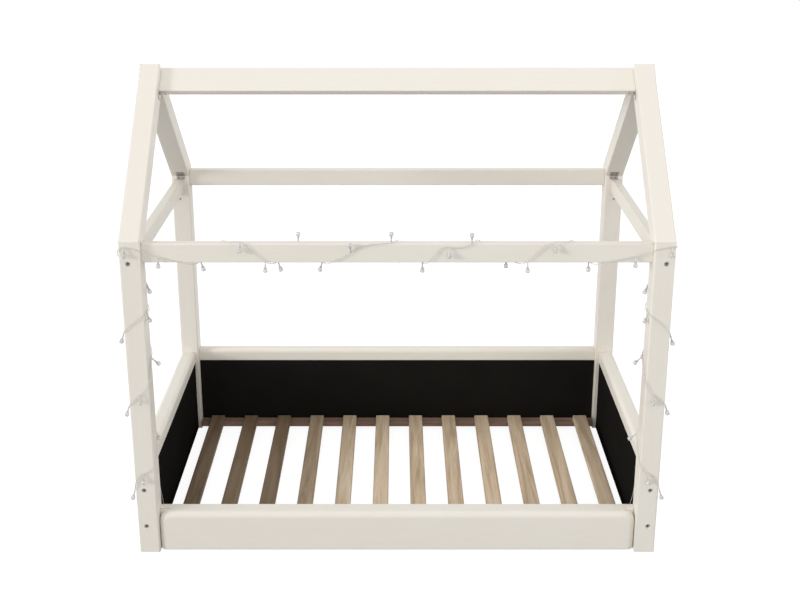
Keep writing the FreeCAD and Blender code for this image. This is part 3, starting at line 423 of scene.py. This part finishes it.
def turned(mesh, profile, start, way, materials):
    """Turn a profile about its axis; materials says which one each ring of faces takes."""
    turn = way.to_track_quat("Z", "Y").to_matrix()
    rings = []
    for radius, along in profile:
        if radius == 0:
            rings.append([mesh.verts.new(start + way * along)])
            continue
        ring = []
        for segment in range(BULB_SEGMENTS):
            angle = 2 * math.pi * segment / BULB_SEGMENTS
            ring.append(mesh.verts.new(
                start + turn @ Vector((radius * math.cos(angle), radius * math.sin(angle), along))))
        rings.append(ring)
    for number, (near, far) in enumerate(zip(rings, rings[1:])):
        for segment in range(BULB_SEGMENTS):
            following = (segment + 1) % BULB_SEGMENTS
            corners = [near[segment % len(near)], near[following % len(near)]]
            corners += [far[following % len(far)], far[segment % len(far)]]
            face = mesh.faces.new(list(dict.fromkeys(corners)))
            face.material_index = materials[number]
            face.smooth = True


def smooth_line(curve):
    """Points along the wire's smooth line, read from a copy without its thickness."""
    plain = curve.copy()
    plain.bevel_depth = 0
    probe = bpy.data.objects.new("wire_line", plain)
    mesh = bpy.data.meshes.new_from_object(probe)
    line = [vertex.co.copy() for vertex in mesh.vertices]
    bpy.data.objects.remove(probe)
    bpy.data.meshes.remove(mesh)
    bpy.data.curves.remove(plain)
    return line


def make_bulbs(name, line, route, spots):
    """The bulbs of one stretch as one piece, each on the nearest point of the wire's line."""
    mesh = bmesh.new()
    points = metres(route)
    for run, share, side, way in spots:
        start = points[run]
        along = points[run + 1] - start
        rise, lean = BULB_WAYS[way]
        axis = (FACING["top"] * rise + FACING[side] * lean).normalized()
        spot = start + along * share
        foot = min(line, key=lambda point: (point - spot).length) + axis * BULB_GRIP
        turned(mesh, BULB_PROFILE, foot, axis, BULB_FACES)
        turned(mesh, LAMP_PROFILE, foot, axis, LAMP_FACES)
    bmesh.ops.recalc_face_normals(mesh, faces=mesh.faces)
    return finish_mesh(mesh, name, [bulb_clear, bulb_sleeve, lamp_glass])


def finish_mesh(mesh, name, materials):
    data = bpy.data.meshes.new(name)
    mesh.to_mesh(data)
    mesh.free()
    for material in materials:
        data.materials.append(material)
    item = bpy.data.objects.new(name, data)
    bpy.context.scene.collection.objects.link(item)
    return item


def make_lights():
    wire = make_wire()
    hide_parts("light_string_wire")
    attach(wire, "bed")
    groups = (
        ("left_post_bulbs", LEFT_POST_ROUTE + BEAM_ROUTE[:1], LEFT_POST_BULBS),
        ("beam_bulbs", BEAM_ROUTE + RIGHT_POST_ROUTE[:1], BEAM_BULBS),
        ("right_post_bulbs", RIGHT_POST_ROUTE, RIGHT_POST_BULBS),
    )
    line = smooth_line(wire.data)
    for node, route, spots in groups:
        item = make_bulbs(node + "_drops", line, route, spots)
        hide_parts(node)
        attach(item, "bed")


# ---------------------------------------------------------------- screws, sockets and grips

def fastened(name, places, profile, material):
    """Small turned heads as one piece, repeated at both ends of the bed."""
    mesh = bmesh.new()
    for place, normal in places:
        for end in (Vector((1, 1, 1)), Vector((-1, 1, 1))):
            turned(mesh, profile, place * end, normal * end, [0] * (len(profile) - 1))
    bmesh.ops.recalc_face_normals(mesh, faces=mesh.faces)
    item = finish_mesh(mesh, name, [material])
    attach(item, "bed")


def bracket_places():
    """Where the screws sit: eave brackets, backs of the eave beams, joint plates of rail and panel."""
    places = []
    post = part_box("rear_left_post")
    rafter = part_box("rear_left_rafter")
    slope = math.atan2(rafter[1][2] - post[1][2], rafter[1][1])
    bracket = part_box("eave_brackets")
    for side in (1, -1):
        corner = Vector((0, side * post[0][1], rafter[0][2]))
        up_slope = Vector((0, -side * math.cos(slope), math.sin(slope)))
        off_slope = Vector((0, -side * math.sin(slope), -math.cos(slope)))
        off_post = Vector((0, -side, 0))
        for share in (0.25, 0.75):
            foot = corner + Vector((bracket[0][0] + share * EAVE_BRACKET_WIDTH, 0, 0))
            places.append((foot + off_post * PLATE - Vector((0, 0, EAVE_POST_SCREW)), off_post))
            places.append((foot + up_slope * EAVE_RAFTER_SCREW + off_slope * PLATE, off_slope))
    beam_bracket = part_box("eave_beam_brackets")
    height = (beam_bracket[0][2] + beam_bracket[1][2]) / 2
    for beam in ("front_eave_beam", "rear_eave_beam"):
        for reach in BEAM_SCREWS:
            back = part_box(beam)[1][1] + PLATE
            places.append((Vector((post[1][0] + reach, back, height)), Vector((0, 1, 0))))
    for plates in ("rail_joint_plates", "back_panel_joint_plates"):
        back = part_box(plates)[1][1]
        for height in PLATE_HEIGHTS:
            for reach in PLATE_SCREWS:
                places.append((Vector((post[1][0] + reach, back, height)), Vector((0, 1, 0))))
    return places


def bolt_places():
    """The middle of each connector bolt's head, on its outer face."""
    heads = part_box("connector_bolts")
    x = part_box("rear_left_post")[0][0] + BOLT_INSET
    for height in BOLT_HEIGHTS:
        yield Vector((x, heads[0][1], height)), Vector((0, -1, 0))
        yield Vector((x, heads[1][1], height)), Vector((0, 1, 0))


def make_fasteners():
    """Screws in brackets and plates, and black discs on the connector bolts' heads: painted shade of their hex
    sockets.
    """
    fastened("bracket_screws", bracket_places(), SCREW_PROFILE, screw_zinc)
    fastened("bolt_socket_shade_discs", bolt_places(), SOCKET_SHADE_PROFILE, socket_painted_shade)


def make_grips():
    """Ridges on the switch slider and on the battery lid."""
    for name, node, (count, pitch, length), slot_name, body, material in (
        ("slider_ridges", "switch_slider", SLIDER_RIDGES, "switch_plastic", "switch", switch_black),
        ("lid_ridges", "battery_lid", LID_RIDGES, "case_plastic", "bed", case_white),
    ):
        low, high = (Vector(corner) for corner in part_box(node))
        middle = (low + high) / 2
        mesh = bmesh.new()
        for number in range(count):
            up = middle.z + (number - (count - 1) / 2) * pitch
            start = Vector((high.x, middle.y - length / 2, up))
            profile = [(0, 0), (RIDGE_RADIUS, 0), (RIDGE_RADIUS, length), (0, length)]
            turned(mesh, profile, start, Vector((0, 1, 0)), [0] * 3)
        bmesh.ops.recalc_face_normals(mesh, faces=mesh.faces)
        item = finish_mesh(mesh, name, [material])
        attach(item, body)


# ---------------------------------------------------------------- light, floor and camera

def stage_material():
    """White floor, white to the camera apart from the object's shadow."""
    material, tree, shader, _ = new_material("studio_white", (FLOOR_BOUNCE, FLOOR_BOUNCE, FLOOR_BOUNCE), 0.9)
    path = tree.nodes.new("ShaderNodeLightPath")
    seen = tree.nodes.new("ShaderNodeMath")
    seen.operation = "MAXIMUM"
    tree.links.new(path.outputs["Is Camera Ray"], seen.inputs[0])
    other = tree.nodes.new("ShaderNodeMath")
    other.operation = "MAXIMUM"
    tree.links.new(path.outputs["Is Glossy Ray"], other.inputs[0])
    tree.links.new(path.outputs["Is Transmission Ray"], other.inputs[1])
    tree.links.new(other.outputs[0], seen.inputs[1])
    glow = tree.nodes.new("ShaderNodeEmission")
    glow.inputs["Strength"].default_value = BACKGROUND_GLOW
    dim = tree.nodes.new("ShaderNodeBsdfDiffuse")
    dim.inputs["Color"].default_value = (SHADOW_SHARE, SHADOW_SHARE, SHADOW_SHARE, 1)
    both = tree.nodes.new("ShaderNodeAddShader")
    tree.links.new(glow.outputs[0], both.inputs[0])
    tree.links.new(dim.outputs[0], both.inputs[1])
    choice = tree.nodes.new("ShaderNodeMixShader")
    tree.links.new(seen.outputs[0], choice.inputs["Fac"])
    tree.links.new(shader.outputs[0], choice.inputs[1])
    tree.links.new(both.outputs[0], choice.inputs[2])
    tree.links.new(choice.outputs[0], tree.nodes["Material Output"].inputs["Surface"])
    return material


def make_stage():
    """A wide floor at the feet of the posts."""
    mesh = bmesh.new()
    bmesh.ops.create_grid(mesh, x_segments=2, y_segments=2, size=FLOOR_SIZE / 2)
    floor = finish_mesh(mesh, "studio_floor", [stage_material()])


def make_world():
    world = bpy.data.worlds.new("studio")
    bpy.context.scene.world = world
    world.use_nodes = True
    tree = world.node_tree
    path = tree.nodes.new("ShaderNodeLightPath")
    background = tree.nodes["Background"]
    background.inputs["Color"].default_value = (1, 1, 1, 1)
    strength = tree.nodes.new("ShaderNodeMapRange")
    strength.inputs["To Min"].default_value = SKY_LIGHT
    strength.inputs["To Max"].default_value = 1.0
    seen = tree.nodes.new("ShaderNodeMath")
    seen.operation = "MAXIMUM"
    tree.links.new(path.outputs["Is Camera Ray"], seen.inputs[0])
    tree.links.new(path.outputs["Is Transmission Ray"], seen.inputs[1])
    tree.links.new(seen.outputs[0], strength.inputs["Value"])
    tree.links.new(strength.outputs["Result"], background.inputs["Strength"])


def make_lamps():
    """A large soft key from the left, and weaker lamps in front and on the right."""
    for name, place, energy, softness in LAMPS:
        sun = bpy.data.lights.new(name, "SUN")
        sun.energy = energy
        sun.angle = math.radians(softness)
        sun.color = LAMP_COLOR
        lamp = bpy.data.objects.new(name, sun)
        lamp.rotation_euler = Vector(place).to_track_quat("Z", "Y").to_euler()
        bpy.context.scene.collection.objects.link(lamp)


def make_camera():
    """The photograph's viewpoint, fitted to the posts, rafters and rails."""
    data = bpy.data.cameras.new("photo")
    data.lens = CAMERA_LENS
    data.sensor_width = 36
    data.shift_x, data.shift_y = CAMERA_SHIFT
    camera = bpy.data.objects.new("photo", data)
    camera.location = CAMERA_PLACE
    camera.rotation_euler = (math.radians(CAMERA_TILT), 0, 0)
    bpy.context.scene.collection.objects.link(camera)
    bpy.context.scene.camera = camera


FLOOR_SIZE = 14
FLOOR_BOUNCE = 0.32  # how much light the floor throws back on the bed
BACKGROUND_GLOW = 0.9
SHADOW_SHARE = 0.25
SKY_LIGHT = 0.87
LAMP_COLOR = (1.0, 0.99, 0.975)
LAMPS = (  # name, where it shines from, strength, softness in degrees
    ("key", (-0.95, -0.45, 0.25), 1.25, 15),
    ("front", (0, -1, 0.1), 0.22, 30),
    ("right", (1, -0.2, 0.1), 0.5, 30),
)

dress_nodes()
make_lights()
make_fasteners()
make_grips()
make_stage()
make_world()
make_lamps()
make_camera()
bpy.context.scene.view_settings.view_transform = "Standard"

bpy.context.view_layer.update()
